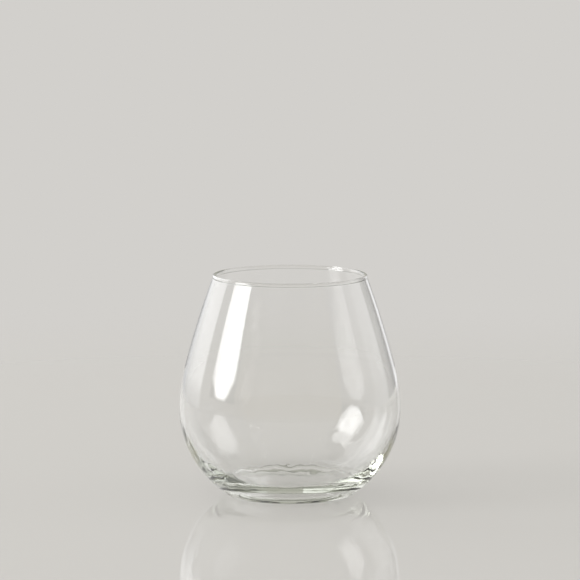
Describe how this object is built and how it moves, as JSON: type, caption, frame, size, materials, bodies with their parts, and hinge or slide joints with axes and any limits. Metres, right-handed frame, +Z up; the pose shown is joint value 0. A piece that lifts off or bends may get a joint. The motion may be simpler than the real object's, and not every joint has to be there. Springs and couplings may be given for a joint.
{
  "type": "stemless sangria glass",
  "caption": "Clear stemless drinking glass with a round bowl narrowing to a beaded lip, a thick floor and a flat ring to stand on; holds wine, sangria or other cold drinks.",
  "frame": {"origin": "on the table, at the middle of the ring that the glass stands on", "axes": "+Z up along the glass's axis of turning; X and Y level, with -Y towards the viewer of the picture"},
  "size_m": [0.1, 0.1, 0.1],
  "materials": {
    "clear_glass": "clear polished soda-lime glass with a faint green tint in the thick floor"
  },
  "bodies": {
    "root": {"glass_body": "clear_glass"}
  },
  "joints": []
}
